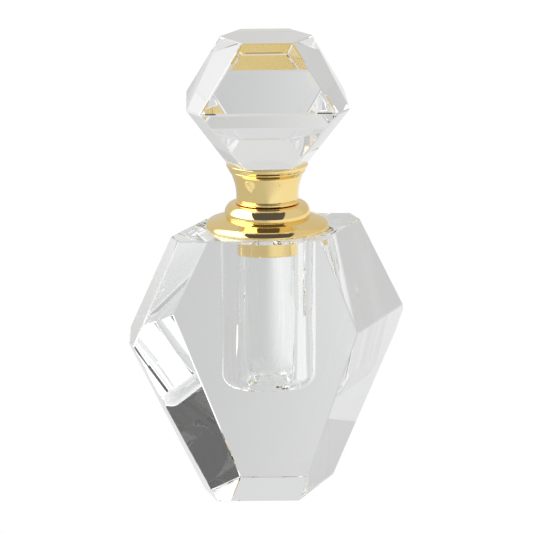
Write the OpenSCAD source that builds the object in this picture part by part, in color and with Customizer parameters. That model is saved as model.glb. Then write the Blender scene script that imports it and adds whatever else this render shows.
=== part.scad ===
// Faceted crystal perfume bottle: a clear cut body with a drilled well, a gold neck collar
// and a screw cap that carries a faceted crystal knob.
// Millimetres. +Z up, the front facet faces -Y. The origin is the centre of the foot, on the
// axis of the well, the neck and the cap.
//
// The body is cut by pairs of flat facets, each pair on opposite sides of the axis: the upright
// front and back, a side pair and a corner pair. Side and corner facets lean out from the foot
// to their girdle and back in to the table. Hand cutting leaves the rear two a little fuller.

/* [Crystal body] */
// Height of the body from the foot to the table
body_h = 49.1; // [40:0.1:60]
// Thickness of the body between the upright front and back facets
body_d = 23.3; // [19.4:0.1:28]
// Direction of the side facets, from +X towards +Y
side_az = -22.85; // [-32:0.05:-14]
// Table left between the collar's flange and the side facets
side_margin = 2; // [1:0.1:3]
// Reach of the front side facet from the axis at its girdle
side_girdle = 19.5; // [16.2:0.1:25]
// Reach of the rear side facet from the axis at its girdle
rear_side_girdle = 20.9; // [17.4:0.1:26]
// Reach of the side facets from the axis at the foot
side_foot = 9.5; // [7:0.1:14]
// Height of the side girdle, as a share of the body height
side_girdle_at = 0.647; // [0.45:0.001:0.8]
// Direction of the corner facets, from +X towards +Y
corner_az = 197.5; // [190:0.1:208]
// Reach of the front corner facet from the axis at the table
corner_table = 18.8; // [13:0.1:24]
// Reach of the rear corner facet from the axis at the table
rear_corner_table = 18.3; // [13:0.1:24]
// Reach of the front corner facet from the axis at its girdle
corner_girdle = 27; // [22:0.1:34]
// Reach of the rear corner facet from the axis at its girdle
rear_corner_girdle = 28.4; // [22:0.1:35]
// Reach of the corner facets from the axis at the foot
corner_foot = 12.7; // [9:0.1:20]
// Height of the corner girdle, as a share of the body height
corner_girdle_at = 0.602; // [0.45:0.001:0.8]

/* [Well] */
// Least wall of crystal between the well and the front and back facets
well_wall = 2.9; // [2:0.05:4.5]
// Depth of the well below the table
well_depth = 29.4; // [16:0.1:35.5]
// Radius of the rounded corner at the well's floor
well_corner_r = 3; // [0.5:0.1:4]
// Width of the bevel round the mouth of the well, hidden under the flange
mouth_bevel = 1.2; // [0.2:0.1:1.5]

/* [Neck collar] */
// Margin of the table left outside the collar's flange at the front
flange_margin = 0.25; // [0:0.05:1.5]
// Thickness of the flange at its rounded edge
flange_t = 1.2; // [0.8:0.05:1.8]
// Radial width of the hollow slope above the flange
slope_w = 2.6; // [1.5:0.1:3.2]
// Radius of the round that hollows the slope
slope_r = 2.7; // [2.7:0.1:5]
// Height of the middle of the round bead above the table
bead_z = 3.05; // [2.5:0.05:4]
// Radius of the bead's own round section
bead_r = 1.35; // [0.8:0.05:1.65]
// Distance of the bead's outermost line inside the flange edge
bead_in = 3.5; // [2.8:0.1:4.2]
// Height of the collar's flat top above the crown of the bead
collar_rise = 0.25; // [0.1:0.05:1]
// Depth of the spigot that is cemented into the mouth of the well
spigot_h = 3.6; // [2:0.1:7]

/* [Neck tube] */
// Radius of the threaded part of the tube, over the thread
thread_r = 4.35; // [3.6:0.05:5.25]
// Depth of the thread
thread_depth = 0.35; // [0.15:0.01:0.42]
// Distance between turns of the thread
thread_pitch = 2; // [1.4:0.1:2.4]
// Radial step from the thread out to the part pressed into the collar
tube_step = 0.15; // [0.1:0.01:0.25]
// Wall of the tube at the root of the thread
tube_wall = 0.8; // [0.6:0.05:1]

/* [Orifice plug] */
// Length of the plug inside the tube
plug_in = 3.4; // [2:0.1:4.5]
// Thickness of the plug's flange, on top of the tube
plug_flange_t = 0.4; // [0.25:0.05:0.6]
// Radius of the dabbing hole
plug_hole_r = 1; // [0.5:0.05:1.4]

/* [Cap] */
// Height of the cap's metal shell
cap_h = 7.25; // [6:0.05:8.7]
// Wall of the liner around its thread
liner_wall = 0.77; // [0.6:0.01:1]
// Thickness of the liner's closed end, above the washer
liner_end_t = 0.68; // [0.4:0.01:0.9]
// Wall of the shell at its waist
shell_wall = 0.5; // [0.4:0.05:0.8]
// Step from the waist out to the foot bead of the shell
foot_step = 0.2; // [0.1:0.05:0.4]
// Flare from the waist out to the rim that carries the crystal
rim_flare = 1.8; // [1.4:0.05:2.6]
// Height of the rim above its groove
rim_t = 1.1; // [0.9:0.05:1.4]
// Thickness of the web between the liner and the crystal's seat
web_t = 0.3; // [0.2:0.05:0.5]
// Width of rim left around the seat disc
seat_margin = 1.6; // [1:0.05:2.4]
// Thickness of the seat disc
seat_t = 0.55; // [0.3:0.05:0.8]
// Thickness of the seal washer inside the cap
washer_t = 0.7; // [0.5:0.05:0.9]

/* [Stopper crystal] */
// Height of the knob crystal
knob_h = 23.5; // [19:0.1:29]
// Height of its girdle, as a share of its height
knob_girdle_at = 0.494; // [0.4:0.001:0.6]
// Reach of the front and back facets from the axis at the girdle
knob_front = 14.5; // [12:0.1:17.5]
// Reach of the two side facets from the axis at the girdle
knob_side = 14.7; // [12.2:0.1:17.7]
// Reach of the four quarter facets from the axis at the girdle
knob_quarter = 17.5; // [15.5:0.1:19]
// Height of the quarter facets' girdle above the girdle of the other facets
quarter_step = 0.2; // [0.1:0.05:0.6]
// Direction of the quarter facets, from the side facets towards the front and back
quarter_az = 26; // [22:0.5:32]
// Reach of the front and back facets from the axis at the top facet
knob_top_front = 8.4; // [7:0.1:10.1]
// Reach of the side facets from the axis at the top facet
knob_top_side = 8.3; // [7:0.1:10]
// Reach of the quarter facets from the axis at the top facet
knob_top_quarter = 7.75; // [6.5:0.05:9.3]
// Inset of the bottom facet from the cap's rim at the front and back
foot_inset_front = 0.65; // [0.2:0.05:1.2]
// Inset of the bottom facet from the cap's rim at the sides
foot_inset_side = 0.2; // [0.1:0.05:1.2]
// Inset of the bottom facet from the cap's rim at the quarters
foot_inset_quarter = 0.6; // [0.2:0.05:1.2]
// Turn of the knob about its axis when the cap is closed
knob_turn = 1.5; // [-22:0.5:22]

/* [Fits] */
// Cement layer between crystal and metal
cement = 0.05; // [0.02:0.01:0.15]
// Clearance of pieces that are pressed or glued one inside the other
press_gap = 0.02; // [0.01:0.01:0.05]
// Radial clearance between the liner and the thread of the neck tube
run_gap = 0.06; // [0.03:0.01:0.1]
// Height left free under the closed cap
cap_gap = 0.1; // [0.05:0.05:0.4]
// Slack below the end of the liner in the cap
liner_gap = 0.2; // [0.1:0.05:0.5]

/* [View] */
// Sub-part to build, or all of them

/* [Hidden] */
$fn = 96;
big = 160;
table_z = body_h;
front_reach = body_d / 2;
well_r = front_reach - well_wall;
flange_r = front_reach - flange_margin;
side_table = flange_r + side_margin;
spigot_r = well_r - cement;
core_r = flange_r - bead_in - bead_r;
collar_top_r = core_r + 0.55;
collar_h = bead_z + bead_r + collar_rise;
tube_r = thread_r + tube_step;
collar_bore_r = tube_r + press_gap;
cap_z0 = collar_h + cap_gap;
cap_top = cap_z0 + cap_h;
seat_z0 = cap_top - seat_t;
web_z0 = seat_z0 - web_t;
liner_top = web_z0 - press_gap;
washer_top = liner_top - liner_end_t;
plug_top = washer_top - washer_t;
tube_top = plug_top - plug_flange_t;
thread_core_r = thread_r - thread_depth;
tube_bore_r = thread_core_r - tube_wall;
liner_bore_r = thread_r + run_gap;
liner_out_r = liner_bore_r + liner_wall;
liner_z0 = cap_z0 + liner_gap;
groove_r = thread_r + thread_depth;
shell_bore_r = liner_out_r + press_gap;
waist_r = shell_bore_r + shell_wall;
foot_r = waist_r + foot_step;
rim_r = waist_r + rim_flare;
seat_r = rim_r - seat_margin;
knob_foot_front = rim_r - foot_inset_front;
knob_foot_side = rim_r - foot_inset_side;
knob_foot_quarter = rim_r - foot_inset_quarter;
knob_z0 = table_z + cap_top + cement;
knob_girdle = knob_h * knob_girdle_at;

crystal = [0.93, 0.96, 0.97, 0.4];
gold = [0.86, 0.66, 0.27];
ivory = [0.93, 0.92, 0.86];
black = [0.12, 0.12, 0.12];

// Takes away all that lies outside the slanting plane through reach r1 at height z1 and
// reach r2 at height z2, in direction az.
module cut_plane(az, r1, z1, r2, z2) {
    lean = atan2(r1 - r2, z2 - z1);
    rotate([0, 0, az])
        translate([r1, 0, z1])
            rotate([0, -lean, 0])
                translate([0, -big / 2, -big / 2])
                    cube([big, big, big]);
}

// Two facets in one direction: foot to girdle, and girdle to top.
module facets(az, r_foot, r_girdle, z_girdle, r_top, z_top) {
    cut_plane(az, r_foot, 0, r_girdle, z_girdle);
    cut_plane(az, r_girdle, z_girdle, r_top, z_top);
}

module well() {
    floor_z = table_z - well_depth;
    rotate_extrude() {
        translate([0, floor_z]) square([well_r - well_corner_r, well_depth + 1]);
        translate([0, floor_z + well_corner_r])
            square([well_r, well_depth + 1 - well_corner_r]);
        polygon([[0, table_z - mouth_bevel], [well_r, table_z - mouth_bevel],
                 [well_r + mouth_bevel, table_z], [well_r + mouth_bevel, table_z + 1],
                 [0, table_z + 1]]);
        intersection() {
            translate([well_r - well_corner_r, floor_z + well_corner_r]) circle(well_corner_r);
            translate([0, floor_z]) square([well_r, well_depth]);
        }
    }
}

module crystal_body() {
    side_z = side_girdle_at * body_h;
    corner_z = corner_girdle_at * body_h;
    color(crystal)
        difference() {
            translate([-big / 4, -front_reach, 0]) cube([big / 2, body_d, body_h]);
            facets(side_az, side_foot, side_girdle, side_z, side_table, body_h);
            facets(side_az + 180, side_foot, rear_side_girdle, side_z, side_table, body_h);
            facets(corner_az, corner_foot, corner_girdle, corner_z, corner_table, body_h);
            facets(corner_az - 180, corner_foot, rear_corner_girdle, corner_z,
                   rear_corner_table, body_h);
            well();
        }
}

module neck_collar() {
    edge_r = flange_t / 2;
    slope_top = flange_t + 1.1;
    color(gold)
        translate([0, 0, table_z])
            rotate_extrude()
                difference() {
                    union() {
                        square([flange_r - edge_r, flange_t]);
                        translate([flange_r - edge_r, edge_r]) circle(edge_r);
                        difference() {
                            square([flange_r - 0.5, slope_top]);
                            translate([flange_r - 0.5, flange_t + slope_r]) circle(slope_r);
                            translate([flange_r - slope_w, slope_top - 0.45])
                                square([slope_w, 1]);
                        }
                        square([core_r + 0.3, bead_z]);
                        translate([core_r, bead_z]) circle(bead_r);
                        square([collar_top_r, collar_h]);
                        translate([0, -spigot_h]) square([spigot_r, spigot_h + 0.1]);
                    }
                    translate([-big, -big / 2]) square([big, big]);
                    translate([0, -big / 2]) square([collar_bore_r, big]);
                }
}

module neck_tube() {
    color(gold)
        translate([0, 0, table_z])
            difference() {
                union() {
                    translate([0, 0, -spigot_h]) cylinder(h = spigot_h + collar_h, r = tube_r);
                    translate([0, 0, -spigot_h])
                        cylinder(h = spigot_h + tube_top, r = thread_core_r);
                    for (i = [0 : 1])
                        translate([0, 0, tube_top - 1.5 - i * thread_pitch])
                            cylinder(h = thread_pitch * 0.45, r = thread_r);
                }
                translate([0, 0, -spigot_h - 1]) cylinder(h = big, r = tube_bore_r);
            }
}

module orifice_plug() {
    color(ivory)
        translate([0, 0, table_z + tube_top])
            difference() {
                union() {
                    translate([0, 0, -plug_in])
                        cylinder(h = plug_in + plug_flange_t, r = tube_bore_r - press_gap);
                    cylinder(h = plug_flange_t, r = thread_core_r - 0.05);
                }
                translate([0, 0, -plug_in - 1]) cylinder(h = big, r = plug_hole_r);
            }
}

module seal_washer() {
    color(black)
        translate([0, 0, table_z + plug_top])
            cylinder(h = washer_t, r = liner_bore_r - run_gap);
}

module cap_liner() {
    color(ivory)
        translate([0, 0, table_z])
            difference() {
                translate([0, 0, liner_z0])
                    cylinder(h = liner_top - liner_z0, r = liner_out_r);
                translate([0, 0, liner_z0 - 1])
                    cylinder(h = washer_top - liner_z0 + 1, r = liner_bore_r);
                for (i = [0 : 1])
                    translate([0, 0, tube_top - 1.5 - i * thread_pitch])
                        cylinder(h = thread_pitch * 0.45, r = groove_r);
            }
}

module cap_ferrule() {
    z_rim = cap_top - rim_t;
    rise = z_rim - cap_z0;
    color(gold)
        translate([0, 0, table_z])
            rotate_extrude()
                difference() {
                    polygon([[0, cap_z0], [foot_r - 0.15, cap_z0],
                             [foot_r, cap_z0 + 0.026 * rise], [foot_r, cap_z0 + 0.052 * rise],
                             [waist_r - 0.08, cap_z0 + 0.09 * rise],
                             [waist_r - 0.08, cap_z0 + 0.107 * rise],
                             [waist_r + 0.011 * rim_flare, cap_z0 + 0.138 * rise],
                             [waist_r, cap_z0 + 0.22 * rise],
                             [waist_r + 0.011 * rim_flare, cap_z0 + 0.317 * rise],
                             [waist_r + 0.044 * rim_flare, cap_z0 + 0.415 * rise],
                             [waist_r + 0.1 * rim_flare, cap_z0 + 0.512 * rise],
                             [waist_r + 0.167 * rim_flare, cap_z0 + 0.593 * rise],
                             [waist_r + 0.25 * rim_flare, cap_z0 + 0.675 * rise],
                             [waist_r + 0.328 * rim_flare, cap_z0 + 0.74 * rise],
                             [waist_r + 0.4 * rim_flare, cap_z0 + 0.805 * rise],
                             [waist_r + 0.444 * rim_flare, cap_z0 + 0.85 * rise],
                             [waist_r + 0.444 * rim_flare, cap_z0 + 0.863 * rise],
                             [waist_r + 0.511 * rim_flare, cap_z0 + 0.876 * rise],
                             [waist_r + 0.6 * rim_flare, cap_z0 + 0.919 * rise],
                             [waist_r + 0.722 * rim_flare, cap_z0 + 0.971 * rise],
                             [waist_r + 0.689 * rim_flare, cap_z0 + 0.985 * rise],
                             [waist_r + 0.689 * rim_flare, z_rim],
                             [waist_r + 0.761 * rim_flare, z_rim + 0.05 * rim_t],
                             [waist_r + 0.889 * rim_flare, z_rim + 0.38 * rim_t],
                             [waist_r + 0.983 * rim_flare, z_rim + 0.67 * rim_t],
                             [rim_r, z_rim + 0.82 * rim_t], [rim_r, z_rim + 0.95 * rim_t],
                             [rim_r - 0.1, cap_top], [0, cap_top]]);
                    translate([-big, -big / 2]) square([big, big]);
                    translate([0, -big / 2]) square([shell_bore_r, big / 2 + web_z0]);
                    translate([0, seat_z0]) square([seat_r + press_gap, big]);
                }
}

module cap_seat() {
    color(gold)
        translate([0, 0, table_z + seat_z0])
            cylinder(h = seat_t, r = seat_r);
}

module stopper_crystal() {
    color(crystal)
        translate([0, 0, knob_z0])
            rotate([0, 0, knob_turn])
                difference() {
                    translate([-knob_side - 1, -knob_front - 1, 0])
                        cube([2 * knob_side + 2, 2 * knob_front + 2, knob_h]);
                    for (az = [0, 180])
                        facets(az, knob_foot_side, knob_side, knob_girdle,
                               knob_top_side, knob_h);
                    for (az = [90, 270])
                        facets(az, knob_foot_front, knob_front, knob_girdle,
                               knob_top_front, knob_h);
                    for (az = [quarter_az, quarter_az + 180, 180 - quarter_az, -quarter_az])
                        facets(az, knob_foot_quarter, knob_quarter, knob_girdle + quarter_step,
                               knob_top_quarter, knob_h);
                }
}

crystal_body();
neck_collar();
neck_tube();
orifice_plug();
seal_washer();
cap_liner();
cap_ferrule();
cap_seat();
stopper_crystal();
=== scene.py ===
"""Looks for the faceted crystal perfume bottle: cut crystal, polished gold, moulded plastic."""

import math

import bmesh
import bpy
from mathutils import Matrix, Vector, noise


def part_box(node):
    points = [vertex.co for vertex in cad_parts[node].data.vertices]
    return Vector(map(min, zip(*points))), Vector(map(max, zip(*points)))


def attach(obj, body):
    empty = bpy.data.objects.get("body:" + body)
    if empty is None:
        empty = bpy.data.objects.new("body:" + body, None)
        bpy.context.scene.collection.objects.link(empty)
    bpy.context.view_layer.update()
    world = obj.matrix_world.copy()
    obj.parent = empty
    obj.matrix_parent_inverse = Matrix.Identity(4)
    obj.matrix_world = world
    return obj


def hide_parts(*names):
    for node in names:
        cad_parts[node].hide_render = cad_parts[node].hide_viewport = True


bl_info = {
    "name": "Crystal Perfume Bottle",
    "version": (1, 0, 0),
    "blender": (4, 5, 0),
    "location": "3D View > Sidebar > Perfume Bottle",
    "description": "Builds the shown pieces of a faceted crystal perfume bottle",
    "category": "Object",
}

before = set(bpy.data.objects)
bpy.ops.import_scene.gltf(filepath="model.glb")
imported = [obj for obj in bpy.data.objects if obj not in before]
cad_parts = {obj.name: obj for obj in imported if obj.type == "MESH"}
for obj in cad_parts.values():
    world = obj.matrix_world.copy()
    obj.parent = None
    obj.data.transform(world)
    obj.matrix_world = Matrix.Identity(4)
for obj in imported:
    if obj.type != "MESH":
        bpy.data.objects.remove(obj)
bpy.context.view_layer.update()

MM = 0.001
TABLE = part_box("crystal_body")[1].z
TURN_STEPS = 144


def above_table(z):
    """A height in metres as millimetres above the body's table."""
    return (z - TABLE) / MM


# ---------------------------------------------------------------- settings


class CrystalSettings(bpy.types.PropertyGroup):
    """Sizes and finish of the two cut crystals."""

    tint: bpy.props.FloatVectorProperty(
        name="Tint", description="Colour of light that passes through the crystal",
        default=(0.985, 0.995, 0.99), size=3, min=0.0, max=1.0, subtype="COLOR")
    ior: bpy.props.FloatProperty(
        name="Refractive index", description="How strongly the crystal bends light",
        default=1.53, min=1.3, max=2.0)
    body_arris: bpy.props.FloatProperty(
        name="Body arris", description="Width of the polished arris along the body's edges",
        default=0.00022, min=0.00005, max=0.001, unit="LENGTH")
    knob_arris: bpy.props.FloatProperty(
        name="Knob arris", description="Width of the polished arris along the knob's edges",
        default=0.0003, min=0.00005, max=0.001, unit="LENGTH")
    well_waviness: bpy.props.FloatProperty(
        name="Well waviness", description="Height of the drawn streaks in the drilled well",
        default=0.00006, min=0.0, max=0.0005, unit="LENGTH")


class GoldSettings(bpy.types.PropertyGroup):
    """Colour and finish of the gold-plated pieces."""

    colour: bpy.props.FloatVectorProperty(
        name="Gold", description="Colour of the polished plate",
        default=(1.0, 0.79, 0.36), size=3, min=0.0, max=1.0, subtype="COLOR")
    deep_colour: bpy.props.FloatVectorProperty(
        name="Deep gold", description="Colour where the plate is a little thicker",
        default=(0.97, 0.73, 0.29), size=3, min=0.0, max=1.0, subtype="COLOR")
    roughness: bpy.props.FloatProperty(
        name="Roughness", description="Softness of the reflections in the plate",
        default=0.07, min=0.0, max=1.0)


class MouldedSettings(bpy.types.PropertyGroup):
    """Colours of the plastic and rubber pieces inside the cap and neck."""

    plastic_colour: bpy.props.FloatVectorProperty(
        name="Plastic", description="Colour of the plug and the cap liner",
        default=(0.82, 0.8, 0.72), size=3, min=0.0, max=1.0, subtype="COLOR")
    rubber_colour: bpy.props.FloatVectorProperty(
        name="Rubber", description="Colour of the seal washer",
        default=(0.02, 0.02, 0.022), size=3, min=0.0, max=1.0, subtype="COLOR")


class StageSettings(bpy.types.PropertyGroup):
    """Floor, light and camera around the bottle."""

    floor_seen: bpy.props.FloatProperty(
        name="Floor brightness", description="Brightness of the floor as the camera sees it",
        default=1.0, min=0.0, max=2.0)
    floor_inside: bpy.props.FloatProperty(
        name="Floor in glass", description="Brightness of the floor as light finds it",
        default=0.64, min=0.0, max=2.0)
    view_distance: bpy.props.FloatProperty(
        name="View distance", description="Distance of the camera from the top of the body",
        default=0.5465, min=0.1, max=5.0, unit="LENGTH")
    view_elevation: bpy.props.FloatProperty(
        name="View elevation", description="Height angle of the camera above the table",
        default=math.radians(12.75), subtype="ANGLE", unit="ROTATION")


# ---------------------------------------------------------------- mesh making


def arc(cx, cz, r, start, end, steps=10):
    """Points of a round in a profile, angles in degrees, counted from outwards to upwards."""
    out = []
    for i in range(steps + 1):
        a = math.radians(start + (end - start) * i / steps)
        out.append((cx + r * math.cos(a), cz + r * math.sin(a)))
    return out


def finish_mesh(bm, name, body, material, sharp=28.0):
    """Turns a bmesh into a piece that rides on a body, smooth except at its sharp edges."""
    bmesh.ops.recalc_face_normals(bm, faces=bm.faces)
    mesh = bpy.data.meshes.new(name)
    for face in bm.faces:
        face.smooth = True
    bm.to_mesh(mesh)
    bm.free()
    mesh.set_sharp_from_angle(angle=math.radians(sharp))
    piece = bpy.data.objects.new(name, mesh)
    bpy.context.scene.collection.objects.link(piece)
    for m in material if isinstance(material, (list, tuple)) else [material]:
        mesh.materials.append(m)
    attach(piece, body)
    return piece


def turned(profile, base_z=0.0, steps=TURN_STEPS):
    """A closed bmesh turned from a closed profile of (radius, height) points in millimetres."""
    bm = bmesh.new()
    rings = []
    for r, z in profile:
        if r < 1e-6:
            rings.append([bm.verts.new((0, 0, base_z + z * MM))])
            continue
        ring = []
        for i in range(steps):
            a = 2 * math.pi * i / steps
            ring.append(bm.verts.new((r * MM * math.cos(a), r * MM * math.sin(a), base_z + z * MM)))
        rings.append(ring)
    count = len(rings)
    for k in range(count):
        low, high = rings[k], rings[(k + 1) % count]
        if len(low) == 1 and len(high) == 1:
            continue
        for i in range(steps):
            j = (i + 1) % steps
            if len(low) == 1:
                bm.faces.new((low[0], high[j], high[i]))
            elif len(high) == 1:
                bm.faces.new((low[i], low[j], high[0]))
            else:
                bm.faces.new((low[i], low[j], high[j], high[i]))
    return bm


def cut_gem(planes, size=0.2):
    """A closed block of crystal cut by planes, each an outward direction and a point on it."""
    bm = bmesh.new()
    bmesh.ops.create_cube(bm, size=size)
    for direction, point in planes:
        geom = bm.verts[:] + bm.edges[:] + bm.faces[:]
        cut = bmesh.ops.bisect_plane(
            bm, geom=geom, dist=1e-7, plane_co=point, plane_no=direction, clear_outer=True)
        rim = [e for e in cut["geom_cut"] if isinstance(e, bmesh.types.BMEdge)]
        if rim:
            bmesh.ops.contextual_create(bm, geom=rim)
    bmesh.ops.remove_doubles(bm, verts=bm.verts, dist=2e-6)
    bmesh.ops.dissolve_limit(
        bm, angle_limit=math.radians(0.2), verts=bm.verts, edges=bm.edges)
    return bm


def polish_arrises(bm, width):
    """Breaks every sharp edge of a crystal by a narrow rounded arris."""
    bmesh.ops.bevel(bm, geom=bm.edges[:], offset=width, segments=2, profile=0.5,
                    affect="EDGES", clamp_overlap=True)


def add_turned(bm, profile):
    """Adds a solid turned from a profile to a bmesh."""
    extra = turned(profile)
    mesh = bpy.data.meshes.new("turned_part")
    extra.to_mesh(mesh)
    extra.free()
    bm.from_mesh(mesh)
    bpy.data.meshes.remove(mesh)


def lean_plane(azimuth, low_reach, low_z, high_reach, high_z):
    """The plane in direction azimuth (degrees) through two reaches at two heights, in mm."""
    a = math.radians(azimuth)
    rise, run = high_z - low_z, high_reach - low_reach
    t = math.atan2(-run, rise)
    direction = Vector((math.cos(a) * math.cos(t), math.sin(a) * math.cos(t), math.sin(t)))
    point = Vector((math.cos(a) * low_reach, math.sin(a) * low_reach, low_z)) * MM
    return direction, point


def two_facets(azimuth, foot, girdle, girdle_z, top, top_z, foot_z=0.0):
    """The lower and upper facet of one side."""
    return [lean_plane(azimuth, foot, foot_z, girdle, girdle_z),
            lean_plane(azimuth, girdle, girdle_z, top, top_z)]


def helix_sleeve(core, crest, low, high, pitch, inner, steps=TURN_STEPS, fade=0.6):
    """A tube whose wall at the core carries a rounded screw thread towards the crest, in mm."""
    bm = bmesh.new()
    rows = int((high - low) / (pitch / 14)) + 1
    grid = []
    for k in range(rows + 1):
        z = low + (high - low) * k / rows
        ring = []
        for i in range(steps):
            a = 2 * math.pi * i / steps
            phase = (z / pitch - a / (2 * math.pi)) % 1.0
            lift = 0.5 + 0.5 * math.tanh(4.0 * math.cos(2 * math.pi * (phase - 0.5)) - 0.6)
            ends = min(1.0, max(0.0, (z - low) / fade - 0.4), max(0.0, (high - z) / fade - 0.4))
            r = core + (crest - core) * lift * ends
            ring.append(bm.verts.new((r * MM * math.cos(a), r * MM * math.sin(a), z * MM)))
        grid.append(ring)
    inside = []
    for z in (low, high):
        inside.append([bm.verts.new((inner * MM * math.cos(2 * math.pi * i / steps),
                                     inner * MM * math.sin(2 * math.pi * i / steps), z * MM))
                       for i in range(steps)])
    loops = grid + [inside[1], inside[0]]
    for k in range(len(loops)):
        one, two = loops[k], loops[(k + 1) % len(loops)]
        for i in range(steps):
            j = (i + 1) % steps
            bm.faces.new((one[i], one[j], two[j], two[i]))
    return bm


# ---------------------------------------------------------------- materials


def new_material(name):
    """A material with only its output and a Principled shader."""
    mat = bpy.data.materials.new(name)
    mat.use_nodes = True
    return mat, mat.node_tree, mat.node_tree.nodes["Principled BSDF"]


def ramp_between(tree, source, low, high, start=0.35, end=0.65):
    """A colour ramp from low to high, driven by source."""
    ramp = tree.nodes.new("ShaderNodeValToRGB")
    ramp.color_ramp.elements[0].position = start
    ramp.color_ramp.elements[1].position = end
    ramp.color_ramp.elements[0].color = (*low, 1)
    ramp.color_ramp.elements[1].color = (*high, 1)
    tree.links.new(source, ramp.inputs["Fac"])
    return ramp


def object_noise(tree, scale, detail=2.0, stretch=(1, 1, 1)):
    """Noise fixed to the piece, stretched along its axes."""
    coord = tree.nodes.new("ShaderNodeTexCoord")
    mapping = tree.nodes.new("ShaderNodeMapping")
    mapping.inputs["Scale"].default_value = stretch
    grain = tree.nodes.new("ShaderNodeTexNoise")
    grain.inputs["Scale"].default_value = scale
    grain.inputs["Detail"].default_value = detail
    tree.links.new(coord.outputs["Object"], mapping.inputs["Vector"])
    tree.links.new(mapping.outputs["Vector"], grain.inputs["Vector"])
    return grain


def step_between(tree, source, start, end, low=0.0, high=1.0, smooth=True):
    """Socket that goes from low to high as source goes from start to end."""
    step = tree.nodes.new("ShaderNodeMapRange")
    step.interpolation_type = "SMOOTHSTEP" if smooth else "LINEAR"
    step.inputs["From Min"].default_value = start
    step.inputs["From Max"].default_value = end
    step.inputs["To Min"].default_value = low
    step.inputs["To Max"].default_value = high
    tree.links.new(source, step.inputs["Value"])
    return step.outputs["Result"]


def add_bump(tree, shader, height, strength, distance):
    """Fine relief on a shader, its depth in metres."""
    bump = tree.nodes.new("ShaderNodeBump")
    bump.inputs["Strength"].default_value = strength
    bump.inputs["Distance"].default_value = distance
    tree.links.new(height, bump.inputs["Height"])
    tree.links.new(bump.outputs["Normal"], shader.inputs["Normal"])


def crystal_material(name, tint, ior, streaks=False):
    """Clear cut crystal; the drilled well is drawn with faint upright streaks."""
    mat, tree, shader = new_material(name)
    shader.inputs["Transmission Weight"].default_value = 1.0
    shader.inputs["IOR"].default_value = ior
    shader.inputs["Roughness"].default_value = 0.0
    tint = tuple(tint)
    if streaks:
        grain = object_noise(tree, 420.0, 2.0, (1, 1, 0.04))
    else:
        grain = object_noise(tree, 60.0, 1.0)
    wash = ramp_between(tree, grain.outputs["Fac"],
                        tuple(c * 0.985 for c in tint), tint, 0.3, 0.7)
    tree.links.new(wash.outputs["Color"], shader.inputs["Base Color"])
    if streaks:
        add_bump(tree, shader, grain.outputs["Fac"], 0.12, 0.0002)
    return mat


def gold_material(name, settings, dulling=1.0):
    """Polished gold plate with a slight drift of colour and fine turning marks."""
    mat, tree, shader = new_material(name)
    shader.inputs["Metallic"].default_value = 1.0
    drift = object_noise(tree, 90.0, 2.0)
    wash = ramp_between(tree, drift.outputs["Fac"],
                        tuple(settings.deep_colour), tuple(settings.colour))
    tree.links.new(wash.outputs["Color"], shader.inputs["Base Color"])
    marks = object_noise(tree, 300.0, 3.0, (0.2, 0.2, 12.0))
    dull = settings.roughness * dulling
    soft = step_between(tree, marks.outputs["Fac"], 0.0, 1.0, dull * 0.6, dull * 1.5, smooth=False)
    tree.links.new(soft, shader.inputs["Roughness"])
    add_bump(tree, shader, marks.outputs["Fac"], 0.03, 0.00002)
    return mat


def moulded_material(name, colour, roughness, soft_light):
    """Moulded plastic or rubber with a fine mould grain."""
    mat, tree, shader = new_material(name)
    grain = object_noise(tree, 700.0, 3.0)
    low = tuple(c * 0.9 for c in colour)
    wash = ramp_between(tree, grain.outputs["Fac"], low, tuple(colour))
    tree.links.new(wash.outputs["Color"], shader.inputs["Base Color"])
    rough = step_between(tree, grain.outputs["Fac"], 0.0, 1.0, roughness * 0.85,
                         min(1.0, roughness * 1.15), smooth=False)
    tree.links.new(rough, shader.inputs["Roughness"])
    if soft_light:
        shader.inputs["Subsurface Weight"].default_value = 0.25
        shader.inputs["Subsurface Scale"].default_value = 0.001
    add_bump(tree, shader, grain.outputs["Fac"], 0.15, 0.00004)
    return mat


# ---------------------------------------------------------------- crystal body

WELL_R = 8.75
WELL_DEPTH = 29.4
WELL_CORNER = 3.0
WELL_STEPS = 192
MOUTH_BEVEL = 1.2
# Depth where the drawn streaks start, and the height over which they grow.
STREAKS_FROM = 4.5
STREAKS_GROW = 4.0
BODY_H = TABLE / MM
FRONT_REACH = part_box("crystal_body")[1].y / MM

# Side and corner facets: the way that one of each pair faces, in degrees, the height of its
# girdle, and its reach from the middle at the foot, the girdle and the table.
SIDE_AZ = -22.85
SIDE_Z = 0.647 * BODY_H
SIDE_FOOT = 9.5
SIDE_GIRDLE = 19.5
SIDE_TABLE = 13.4
CORNER_AZ = 17.5
CORNER_Z = 0.602 * BODY_H
CORNER_FOOT = 12.7
CORNER_GIRDLE = 27.0
FRONT_CORNER_TABLE = 18.8
REAR_CORNER_TABLE = 18.3
# How much farther the rear facets reach at the girdle than the front ones.
REAR_FULLNESS = 1.4


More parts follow.
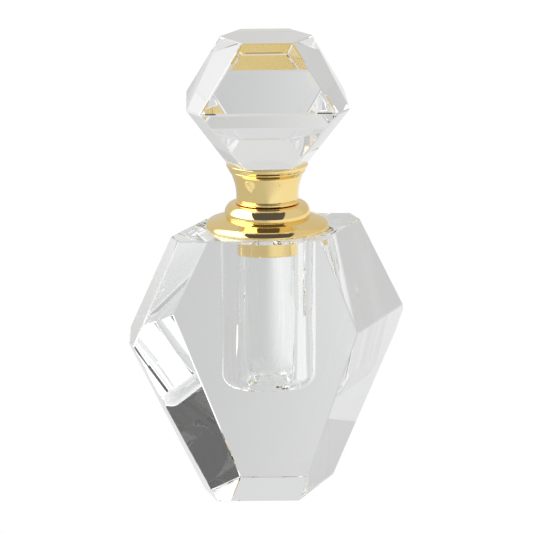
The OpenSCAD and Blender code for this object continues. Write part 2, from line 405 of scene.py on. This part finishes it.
def body_planes():
    """Every facet of the body, foot and table."""
    planes = [(Vector((0, 0, -1)), Vector((0, 0, 0))),
              (Vector((0, 0, 1)), Vector((0, 0, TABLE))),
              (Vector((0, -1, 0)), Vector((0, -FRONT_REACH * MM, 0))),
              (Vector((0, 1, 0)), Vector((0, FRONT_REACH * MM, 0)))]
    planes += two_facets(SIDE_AZ, SIDE_FOOT, SIDE_GIRDLE, SIDE_Z, SIDE_TABLE, BODY_H)
    planes += two_facets(SIDE_AZ + 180, SIDE_FOOT, SIDE_GIRDLE + REAR_FULLNESS, SIDE_Z,
                         SIDE_TABLE, BODY_H)
    planes += two_facets(CORNER_AZ + 180, CORNER_FOOT, CORNER_GIRDLE, CORNER_Z,
                         FRONT_CORNER_TABLE, BODY_H)
    planes += two_facets(CORNER_AZ, CORNER_FOOT, CORNER_GIRDLE + REAR_FULLNESS, CORNER_Z,
                         REAR_CORNER_TABLE, BODY_H)
    return planes


def drill_well(bm, waviness):
    """Opens the table face round the well's mouth and adds the well's wall and floor."""
    table = max(bm.faces, key=lambda f: f.calc_center_median().z)
    rim = list(table.edges)
    bmesh.ops.delete(bm, geom=[table], context="FACES_ONLY")
    path = [(WELL_R + MOUTH_BEVEL, 0.0), (WELL_R + 0.1, 0.12 - MOUTH_BEVEL),
            (WELL_R, -MOUTH_BEVEL)]
    path += [(WELL_R, -z) for z in range(2, int(WELL_DEPTH - WELL_CORNER), 1)]
    path += arc(WELL_R - WELL_CORNER, WELL_CORNER - WELL_DEPTH, WELL_CORNER, 0, -90, 10)
    path += [(3.0, -WELL_DEPTH - 0.02), (0.0, -WELL_DEPTH - 0.03)]
    rings = []
    steps = WELL_STEPS
    for r, z in path:
        ring = []
        if r < 1e-6:
            rings.append([bm.verts.new((0, 0, TABLE + z * MM))])
            continue
        for i in range(steps):
            a = 2 * math.pi * i / steps
            wave = 0.0
            if z < -STREAKS_FROM:
                wave = waviness * noise.noise(
                    Vector((math.cos(a) * 3.2, math.sin(a) * 3.2, z * 0.05)))
                wave *= min(1.0, (-z - STREAKS_FROM) / STREAKS_GROW)
            rr = r * MM - abs(wave)
            ring.append(bm.verts.new((rr * math.cos(a), rr * math.sin(a), TABLE + z * MM)))
        rings.append(ring)
    mouth = []
    for i in range(steps):
        mouth.append(bm.edges.new((rings[0][i], rings[0][(i + 1) % steps])))
    made = []
    for one, two in zip(rings, rings[1:]):
        for i in range(steps):
            j = (i + 1) % steps
            if len(two) == 1:
                made.append(bm.faces.new((one[i], one[j], two[0])))
            else:
                made.append(bm.faces.new((one[i], one[j], two[j], two[i])))
    bmesh.ops.triangle_fill(bm, edges=rim + mouth, use_beauty=True)
    for face in made:
        face.material_index = 1


class PERFUME_OT_body_crystal(bpy.types.Operator):
    """Builds the cut-crystal body with its drilled well"""

    bl_idname = "perfume.body_crystal"
    bl_label = "Body crystal"

    def execute(self, context):
        s = context.scene.perfume_crystal
        bm = cut_gem(body_planes())
        polish_arrises(bm, s.body_arris)
        drill_well(bm, s.well_waviness)
        clear = crystal_material("cut_crystal_body", s.tint, s.ior)
        drawn = crystal_material("drilled_well_wall", s.tint, s.ior, streaks=True)
        piece = finish_mesh(bm, "body_crystal", "bottle", [clear, drawn], sharp=8)
        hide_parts("crystal_body")
        return {"FINISHED"}


# ---------------------------------------------------------------- knob crystal

KNOB_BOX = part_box("stopper_crystal")
KNOB_FOOT = KNOB_BOX[0].z
KNOB_H = (KNOB_BOX[1].z - KNOB_FOOT) / MM
KNOB_GIRDLE = 0.494 * KNOB_H
KNOB_TURN = 1.5
QUARTER_AZ = 26.0
# Reach of the knob's facets from its middle at the foot, the girdle and the top.
KNOB_SIDE = (7.3, 14.7, 8.3)
KNOB_FRONT = (6.85, 14.5, 8.4)
KNOB_QUARTER = (6.9, 17.5, 7.75)
# Height above the knob's foot, in metres, that the cemented face lies within.
CEMENTED_WITHIN = 0.00001
CEMENT_DULLING = 3.0


def knob_planes():
    """Every facet of the knob, from its bottom at height 0, in mm before it is placed."""
    planes = [(Vector((0, 0, -1)), Vector((0, 0, 0))),
              (Vector((0, 0, 1)), Vector((0, 0, KNOB_H * MM)))]
    quarters = (QUARTER_AZ, QUARTER_AZ + 180, 180 - QUARTER_AZ, -QUARTER_AZ)
    for (foot, girdle, top), azimuths in (
            (KNOB_SIDE, (0, 180)), (KNOB_FRONT, (90, 270)), (KNOB_QUARTER, quarters)):
        for azimuth in azimuths:
            planes += two_facets(azimuth + KNOB_TURN, foot, girdle, KNOB_GIRDLE, top, KNOB_H)
    return planes


class PERFUME_OT_knob_crystal(bpy.types.Operator):
    """Builds the faceted crystal knob of the cap"""

    bl_idname = "perfume.knob_crystal"
    bl_label = "Knob crystal"

    def execute(self, context):
        s = context.scene.perfume_crystal
        bm = cut_gem(knob_planes())
        polish_arrises(bm, s.knob_arris)
        bmesh.ops.translate(bm, verts=bm.verts, vec=(0, 0, KNOB_FOOT))
        for face in bm.faces:
            if face.calc_center_median().z < KNOB_FOOT + CEMENTED_WITHIN:
                face.material_index = 1
        clear = crystal_material("cut_crystal_knob", s.tint, s.ior)
        gilt = gold_material("gold_behind_cement", context.scene.perfume_gold,
                             CEMENT_DULLING)
        piece = finish_mesh(bm, "knob_crystal", "cap", [clear, gilt], sharp=8)
        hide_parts("stopper_crystal")
        return {"FINISHED"}


# ---------------------------------------------------------------- gold pieces

# Collar, with heights above the body's table.
FLANGE_R = 11.4
FLANGE_ROUND = 1.15
SPIGOT_R = 8.7
SPIGOT_H = -above_table(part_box("neck_collar")[0].z)
COLLAR_BORE = 4.52
COLLAR_H = above_table(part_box("neck_collar")[1].z)
BEAD_R = 2.3
BEAD_MIDDLE = (5.6, 2.75)

# Cap's shell and the seat disc in it.
CAP_FOOT = above_table(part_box("cap_ferrule")[0].z)
CAP_TOP = above_table(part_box("cap_ferrule")[1].z)
RIM_R = 7.5
RIM_ROUND = 0.15
SHELL_BORE = 5.2
SEAT_R = 5.9

# Neck tube: bore, thread and the part pressed into the collar.
TUBE_BORE = 3.2
TUBE_CORE = 4.0
TUBE_CREST = 4.34
TUBE_PRESSED = 4.5
TUBE_THREAD_FROM = 5.2
TUBE_THREAD_TO = 9.3
THREAD_PITCH = 2.0


def collar_profile():
    """Half section of the neck collar, from the spigot's bore round the outside."""
    p = [(COLLAR_BORE, -SPIGOT_H), (SPIGOT_R - 0.25, -SPIGOT_H), (SPIGOT_R, 0.25 - SPIGOT_H),
         (SPIGOT_R, 0.0)]
    p += [(FLANGE_R - 0.25, 0.0), (FLANGE_R - 0.05, 0.06)]
    p += arc(FLANGE_R - FLANGE_ROUND, 0.3, FLANGE_ROUND, 0, 62, 12)
    p += [(10.3, 1.46), (9.7, 1.66), (9.1, 1.86), (8.6, 2.04), (8.3, 2.08), (8.1, 2.0),
          (7.8, 2.06)]
    p += arc(*BEAD_MIDDLE, BEAD_R, -14, 48, 16)
    p += [(6.98, 4.56), (6.8, 4.62), (6.6, COLLAR_H), (6.3, COLLAR_H)]
    p += [(COLLAR_BORE, COLLAR_H)]
    return p


def ferrule_profile():
    """Half section of the cap's shell."""
    foot, top = CAP_FOOT, CAP_TOP
    p = [(SHELL_BORE, foot), (5.74, foot), (5.86, foot + 0.06), (5.9, foot + 0.18),
         (5.88, foot + 0.36), (5.78, foot + 0.48), (5.62, foot + 0.56), (5.62, foot + 0.66)]
    below = [(5.72, 6.4), (5.7, 5.9), (5.72, 5.3), (5.78, 4.7), (5.88, 4.1), (6.0, 3.6),
             (6.15, 3.1), (6.29, 2.7), (6.42, 2.3), (6.5, 2.02), (6.5, 1.94), (6.62, 1.86),
             (6.78, 1.6), (7.0, 1.28), (6.94, 1.2), (6.94, 1.12), (7.07, 1.05),
             (7.3, 0.68), (7.47, 0.36)]
    p += [(r, top - d) for r, d in below]
    p += arc(RIM_R - RIM_ROUND, top - RIM_ROUND, RIM_ROUND, 0, 90, 6)
    p += [(5.95, top), (5.92, top - 0.03), (5.92, top - 0.55), (0.0, top - 0.55),
          (0.0, top - 0.85), (SHELL_BORE, top - 0.85)]
    return p


def seat_profile():
    """Half section of the seat disc."""
    top = CAP_TOP
    return [(0.0, top - 0.54), (SEAT_R - 0.05, top - 0.54), (SEAT_R, top - 0.49),
            (SEAT_R, top - 0.06), (SEAT_R - 0.06, top), (0.0, top)]


def pressed_tube_profile():
    """Half section of the neck tube below its thread."""
    return [(TUBE_BORE, -SPIGOT_H), (TUBE_PRESSED - 0.1, -SPIGOT_H),
            (TUBE_PRESSED, 0.1 - SPIGOT_H), (TUBE_PRESSED, COLLAR_H - 0.05),
            (4.3, COLLAR_H), (TUBE_CORE, COLLAR_H + 0.05), (TUBE_CORE, TUBE_THREAD_FROM),
            (TUBE_BORE, TUBE_THREAD_FROM)]


def open_seams(bm):
    """Joins parts that meet end to end and takes out the doubled faces between them."""
    bmesh.ops.remove_doubles(bm, verts=bm.verts, dist=1e-6)
    seen = {}
    for face in bm.faces:
        seen.setdefault(frozenset(v.index for v in face.verts), []).append(face)
    doubled = [f for same in seen.values() if len(same) > 1 for f in same]
    bmesh.ops.delete(bm, geom=doubled, context="FACES_ONLY")


class PERFUME_OT_gold_pieces(bpy.types.Operator):
    """Builds the turned gold collar, the cap's shell, the knob's seat and the neck tube"""

    bl_idname = "perfume.gold_pieces"
    bl_label = "Gold pieces"

    def execute(self, context):
        gold = gold_material("gold_plate", context.scene.perfume_gold)
        for name, profile, body, node in (
                ("neck_collar_turned", collar_profile(), "bottle", "neck_collar"),
                ("cap_shell_turned", ferrule_profile(), "cap", "cap_ferrule"),
                ("knob_seat_disc", seat_profile(), "cap", "cap_seat")):
            piece = finish_mesh(turned(profile, TABLE), name, body, gold)
            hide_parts(node)
        bm = helix_sleeve(TUBE_CORE, TUBE_CREST, TUBE_THREAD_FROM, TUBE_THREAD_TO, THREAD_PITCH,
                          TUBE_BORE)
        add_turned(bm, pressed_tube_profile())
        open_seams(bm)
        bmesh.ops.translate(bm, verts=bm.verts, vec=(0, 0, TABLE))
        tube = finish_mesh(bm, "neck_tube_threaded", "bottle", gold, sharp=40)
        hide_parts("neck_tube")
        return {"FINISHED"}


# ---------------------------------------------------------------- inner pieces

# Orifice plug, pressed into the top of the tube.
TUBE_TOP = 9.35
PLUG_R = 3.17
PLUG_IN = 3.4
PLUG_FLANGE_R = 3.95
PLUG_FLANGE_H = 0.39
PLUG_HOLE_R = 1.0

# Seal washer.
WASHER_R = 4.33
WASHER_LOW = 9.76
WASHER_HIGH = 10.44

# Cap liner: its thread stands inwards from the core, and a cover closes it.
LINER_CORE = 4.7
LINER_CREST = 4.43
LINER_FROM = 4.96
LINER_TO = 10.45
LINER_R = 5.15
COVER_TOP = 11.12


def plug_profile():
    """Half section of the orifice plug, with a groove round it and a dished mouth."""
    foot, top = TUBE_TOP - PLUG_IN, TUBE_TOP + PLUG_FLANGE_H
    return [(PLUG_HOLE_R, foot), (PLUG_R - 0.22, foot), (PLUG_R, foot + 0.3),
            (PLUG_R, TUBE_TOP - 2.2), (PLUG_R - 0.12, TUBE_TOP - 2.1), (PLUG_R, TUBE_TOP - 2.0),
            (PLUG_R, TUBE_TOP), (PLUG_FLANGE_R - 0.1, TUBE_TOP), (PLUG_FLANGE_R, TUBE_TOP + 0.1),
            (PLUG_FLANGE_R, top - 0.09), (PLUG_FLANGE_R - 0.1, top), (PLUG_HOLE_R + 0.7, top),
            (PLUG_HOLE_R + 0.3, TUBE_TOP + 0.2), (PLUG_HOLE_R, TUBE_TOP - 0.3)]


def washer_profile():
    """Half section of the seal washer."""
    soft = WASHER_R - 0.13
    return [(0.0, WASHER_LOW), (soft, WASHER_LOW), (WASHER_R, WASHER_LOW + 0.12),
            (WASHER_R, WASHER_HIGH - 0.12), (soft, WASHER_HIGH), (0.0, WASHER_HIGH)]


def cover_profile():
    """Half section of the liner's closed end."""
    low = LINER_TO + 0.01
    return [(0.0, low), (LINER_R - 0.05, low), (LINER_R + 0.01, low + 0.09),
            (LINER_R + 0.01, COVER_TOP - 0.07), (LINER_R - 0.1, COVER_TOP), (0.0, COVER_TOP)]


class PERFUME_OT_inner_pieces(bpy.types.Operator):
    """Builds the orifice plug, the cap liner and the seal washer"""

    bl_idname = "perfume.inner_pieces"
    bl_label = "Inner pieces"

    def execute(self, context):
        s = context.scene.perfume_moulded
        plastic = moulded_material("natural_plastic", s.plastic_colour, 0.42, True)
        rubber = moulded_material("washer_rubber", s.rubber_colour, 0.7, False)
        piece = finish_mesh(turned(plug_profile(), TABLE), "orifice_plug_moulded", "bottle",
                            plastic)
        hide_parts("orifice_plug")
        piece = finish_mesh(turned(washer_profile(), TABLE), "seal_washer_rubber", "washer",
                            rubber)
        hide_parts("seal_washer")
        liner = helix_sleeve(LINER_CORE, LINER_CREST, LINER_FROM, LINER_TO, THREAD_PITCH, LINER_R)
        add_turned(liner, cover_profile())
        bmesh.ops.translate(liner, verts=liner.verts, vec=(0, 0, TABLE))
        piece = finish_mesh(liner, "cap_liner_moulded", "liner", plastic,
                            sharp=40)
        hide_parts("cap_liner")
        return {"FINISHED"}


# ---------------------------------------------------------------- stage


# Floor: its half width and its drop below the bottle in metres, and a painted light sweep by which
# the glow that the crystal gathers from it rises from left to right, by places in metres and shares
# of the tone.
FLOOR_REACH = 4.0
FLOOR_DROP = 0.0002
SWEEP_FROM, SWEEP_TO = -0.03, 0.08
SWEEP_LEFT, SWEEP_RIGHT = 0.94, 1.45


def mix_shaders(tree, factor, one, two):
    """Shader socket that goes from one shader to the other by factor."""
    mix = tree.nodes.new("ShaderNodeMixShader")
    tree.links.new(factor, mix.inputs["Fac"])
    tree.links.new(one, mix.inputs[1])
    tree.links.new(two, mix.inputs[2])
    return mix.outputs["Shader"]


def blend_tones(tree, factor, below, above):
    """Colour socket that goes from below, a tone or a socket, to the tone above by factor."""
    mix = tree.nodes.new("ShaderNodeMix")
    mix.data_type = "RGBA"
    mix.inputs["B"].default_value = (*above, 1)
    tree.links.new(factor, mix.inputs["Factor"])
    if isinstance(below, tuple):
        mix.inputs["A"].default_value = (*below, 1)
    else:
        tree.links.new(below, mix.inputs["A"])
    return mix.outputs["Result"]


def floor_material(seen, inside):
    """Pale floor, lighter to the eye than the tone the crystal gathers, which is painted light
    brightening to the right.
    """
    mat = bpy.data.materials.new("pale_floor")
    mat.use_nodes = True
    tree = mat.node_tree
    tree.nodes.clear()
    out = tree.nodes.new("ShaderNodeOutputMaterial")
    path = tree.nodes.new("ShaderNodeLightPath")
    glow = tree.nodes.new("ShaderNodeEmission")
    place = tree.nodes.new("ShaderNodeTexCoord")
    split = tree.nodes.new("ShaderNodeSeparateXYZ")
    tree.links.new(place.outputs["Object"], split.inputs["Vector"])
    # painted light: the floor's glow as the crystal sees it grows brighter from left to right
    painted_light_sweep = step_between(tree, split.outputs["X"], SWEEP_FROM, SWEEP_TO,
                         inside * SWEEP_LEFT, inside * SWEEP_RIGHT)
    tree.links.new(painted_light_sweep, glow.inputs["Strength"])
    plain = tree.nodes.new("ShaderNodeEmission")
    plain.inputs["Color"].default_value = (1, 1, 1, 1)
    plain.inputs["Strength"].default_value = seen
    shown = mix_shaders(tree, path.outputs["Is Camera Ray"], glow.outputs["Emission"],
                        plain.outputs["Emission"])
    tree.links.new(shown, out.inputs["Surface"])
    return mat


# Plain neutral room round the bottle, by the turn seen from above (0 is the left, a quarter is
# the camera, a half is the right): soft white sides, grey behind, a dark flag at each front side.
SOFT = (1.0, 1.0, 1.0)
WALL = (0.45, 0.45, 0.45)
FLAG = (0.06, 0.06, 0.06)
ROOM = ((0.0, SOFT), (0.12, SOFT), (0.14, FLAG), (0.2, FLAG), (0.22, WALL), (0.28, WALL),
        (0.3, FLAG), (0.36, FLAG), (0.38, SOFT), (0.54, SOFT), (0.6, WALL), (0.9, WALL),
        (0.96, SOFT))
ROOM_GAIN = 1.6
CEILING = (0.5, 0.5, 0.5)
# Heights above the horizon, in degrees, between which the room turns into the ceiling.
CEILING_FROM, CEILING_TO = 44, 52

# What polished surfaces reflect: a bright lamp box on the left, a dimmer one on the right, a
# dark gap between them, and the backdrop. Each box is one side of a slanting plane: the way
# that it faces, where its soft edge starts and ends, and its tone.
LEFT_BOX = ((-0.61, 0.44, -0.24), -0.02, 0.03, (3.0, 3.0, 2.9))
RIGHT_BOX = ((0.61, 0.44, -0.24), 0.04, 0.09, (0.72, 0.7, 0.72))
DARK_GAP = (0.1, 0.095, 0.13)
BACKDROP = (0.66, 0.64, 0.62)
BACKDROP_FROM, BACKDROP_TO = 0.32, 0.5


def reflected_room(tree, direction, back_and_forth):
    """Colour socket of the tones that polished surfaces reflect."""
    tone = DARK_GAP
    for facing, start, end, glow in (LEFT_BOX, RIGHT_BOX):
        side = tree.nodes.new("ShaderNodeVectorMath")
        side.operation = "DOT_PRODUCT"
        side.inputs[1].default_value = facing
        tree.links.new(direction, side.inputs[0])
        edge = step_between(tree, side.outputs["Value"], start, end)
        tone = blend_tones(tree, edge, tone, glow)
    behind = step_between(tree, back_and_forth, BACKDROP_FROM, BACKDROP_TO, smooth=False)
    return blend_tones(tree, behind, tone, BACKDROP)


def plain_room(tree, direction, height):
    """Colour socket of the neutral room, with its tones round the bottle and a ceiling."""
    turn = tree.nodes.new("ShaderNodeTexGradient")
    turn.gradient_type = "RADIAL"
    ramp = tree.nodes.new("ShaderNodeValToRGB")
    stops = ramp.color_ramp.elements
    stops[0].position, stops[0].color = ROOM[0][0], (*ROOM[0][1], 1)
    stops[1].position, stops[1].color = ROOM[-1][0], (*ROOM[-1][1], 1)
    for place, tone in ROOM[1:-1]:
        stops.new(place).color = (*tone, 1)
    tree.links.new(direction, turn.inputs["Vector"])
    tree.links.new(turn.outputs["Fac"], ramp.inputs["Fac"])
    high = step_between(tree, height, math.sin(math.radians(CEILING_FROM)),
                        math.sin(math.radians(CEILING_TO)))
    return blend_tones(tree, high, ramp.outputs["Color"], CEILING)


def room_world():
    """World shader: the neutral room, what polished metal reflects, and white for the eye."""
    world = bpy.data.worlds.new("studio")
    world.use_nodes = True
    tree = world.node_tree
    tree.nodes.clear()
    out = tree.nodes.new("ShaderNodeOutputWorld")
    coord = tree.nodes.new("ShaderNodeTexCoord")
    direction = coord.outputs["Generated"]
    split = tree.nodes.new("ShaderNodeSeparateXYZ")
    tree.links.new(direction, split.inputs["Vector"])
    room = tree.nodes.new("ShaderNodeBackground")
    room.inputs["Strength"].default_value = ROOM_GAIN
    tree.links.new(plain_room(tree, direction, split.outputs["Z"]), room.inputs["Color"])
    shine = tree.nodes.new("ShaderNodeBackground")
    tree.links.new(reflected_room(tree, direction, split.outputs["Y"]), shine.inputs["Color"])
    paper = tree.nodes.new("ShaderNodeBackground")
    paper.inputs["Color"].default_value = (1, 1, 1, 1)
    path = tree.nodes.new("ShaderNodeLightPath")
    polished = tree.nodes.new("ShaderNodeMath")
    polished.operation = "SUBTRACT"
    polished.use_clamp = True
    tree.links.new(path.outputs["Is Glossy Ray"], polished.inputs[0])
    tree.links.new(path.outputs["Is Transmission Ray"], polished.inputs[1])
    met = mix_shaders(tree, polished.outputs["Value"], room.outputs["Background"],
                      shine.outputs["Background"])
    seen = mix_shaders(tree, path.outputs["Is Camera Ray"], met, paper.outputs["Background"])
    tree.links.new(seen, out.inputs["Surface"])
    return world


# Lens in millimetres, and the degrees that the camera dips, turns and rolls off its aim.
CAMERA_LENS = 200.6
CAMERA_DIP = 0.763
CAMERA_TURN = 0.027
CAMERA_ROLL = -0.42
SENSOR = 36.0
# Most bounces that light may take inside the crystal.
LIGHT_BOUNCES = 32


class PERFUME_OT_stage(bpy.types.Operator):
    """Sets the floor, the soft light and the camera"""

    bl_idname = "perfume.stage"
    bl_label = "Stage"

    def execute(self, context):
        s = context.scene.perfume_stage
        scene = context.scene
        bm = bmesh.new()
        bmesh.ops.create_grid(bm, x_segments=2, y_segments=2, size=FLOOR_REACH)
        mesh = bpy.data.meshes.new("floor")
        bm.to_mesh(mesh)
        bm.free()
        floor = bpy.data.objects.new("floor", mesh)
        floor.location.z = -FLOOR_DROP
        mesh.materials.append(floor_material(s.floor_seen, s.floor_inside))
        scene.collection.objects.link(floor)

        scene.world = room_world()

        data = bpy.data.cameras.new("camera")
        data.lens = CAMERA_LENS
        data.sensor_width = SENSOR
        data.clip_start, data.clip_end = 0.01, 20.0
        camera = bpy.data.objects.new("camera", data)
        e, d = s.view_elevation, s.view_distance
        camera.location = (0, -d * math.cos(e), TABLE + d * math.sin(e))
        down = math.pi / 2 - e - math.radians(CAMERA_DIP)
        camera.rotation_euler = (
            Matrix.Rotation(math.radians(CAMERA_TURN), 3, "Z")
            @ Matrix.Rotation(down, 3, "X")
            @ Matrix.Rotation(math.radians(CAMERA_ROLL), 3, "Z")).to_euler()
        scene.collection.objects.link(camera)
        scene.camera = camera
        scene.view_settings.view_transform = "Standard"
        scene.cycles.max_bounces = LIGHT_BOUNCES
        scene.cycles.glossy_bounces = LIGHT_BOUNCES
        scene.cycles.transmission_bounces = LIGHT_BOUNCES
        return {"FINISHED"}


# ---------------------------------------------------------------- panel and run


class PERFUME_PT_panel(bpy.types.Panel):
    """Lists the pieces and their settings"""

    bl_idname = "PERFUME_PT_panel"
    bl_label = "Perfume Bottle"
    bl_space_type = "VIEW_3D"
    bl_region_type = "UI"
    bl_category = "Perfume Bottle"

    def draw(self, context):
        layout, scene = self.layout, context.scene
        for title, group, names in (
                ("Crystal", scene.perfume_crystal,
                 ("tint", "ior", "body_arris", "knob_arris", "well_waviness")),
                ("Gold", scene.perfume_gold, ("colour", "deep_colour", "roughness")),
                ("Inner pieces", scene.perfume_moulded, ("plastic_colour", "rubber_colour")),
                ("Stage", scene.perfume_stage,
                 ("floor_seen", "floor_inside", "view_distance", "view_elevation"))):
            box = layout.box()
            box.label(text=title)
            for name in names:
                box.prop(group, name)
        for op in OPERATORS:
            layout.operator(op.bl_idname)


SETTINGS = (CrystalSettings, GoldSettings, MouldedSettings, StageSettings)
OPERATORS = (PERFUME_OT_stage, PERFUME_OT_body_crystal, PERFUME_OT_knob_crystal,
             PERFUME_OT_gold_pieces, PERFUME_OT_inner_pieces)


def register():
    """Registers every class and puts the settings on the scene."""
    for cls in SETTINGS + OPERATORS + (PERFUME_PT_panel,):
        bpy.utils.register_class(cls)
    scene = bpy.types.Scene
    scene.perfume_crystal = bpy.props.PointerProperty(type=CrystalSettings)
    scene.perfume_gold = bpy.props.PointerProperty(type=GoldSettings)
    scene.perfume_moulded = bpy.props.PointerProperty(type=MouldedSettings)
    scene.perfume_stage = bpy.props.PointerProperty(type=StageSettings)


def unregister():
    """Takes the settings and classes away again."""
    scene = bpy.types.Scene
    del scene.perfume_stage, scene.perfume_moulded, scene.perfume_gold, scene.perfume_crystal
    for cls in reversed(SETTINGS + OPERATORS + (PERFUME_PT_panel,)):
        bpy.utils.unregister_class(cls)


def main():
    register()
    bpy.ops.perfume.stage()
    bpy.ops.perfume.body_crystal()
    bpy.ops.perfume.knob_crystal()
    bpy.ops.perfume.gold_pieces()
    bpy.ops.perfume.inner_pieces()
    bpy.context.view_layer.update()


if __name__ == "__main__":
    main()
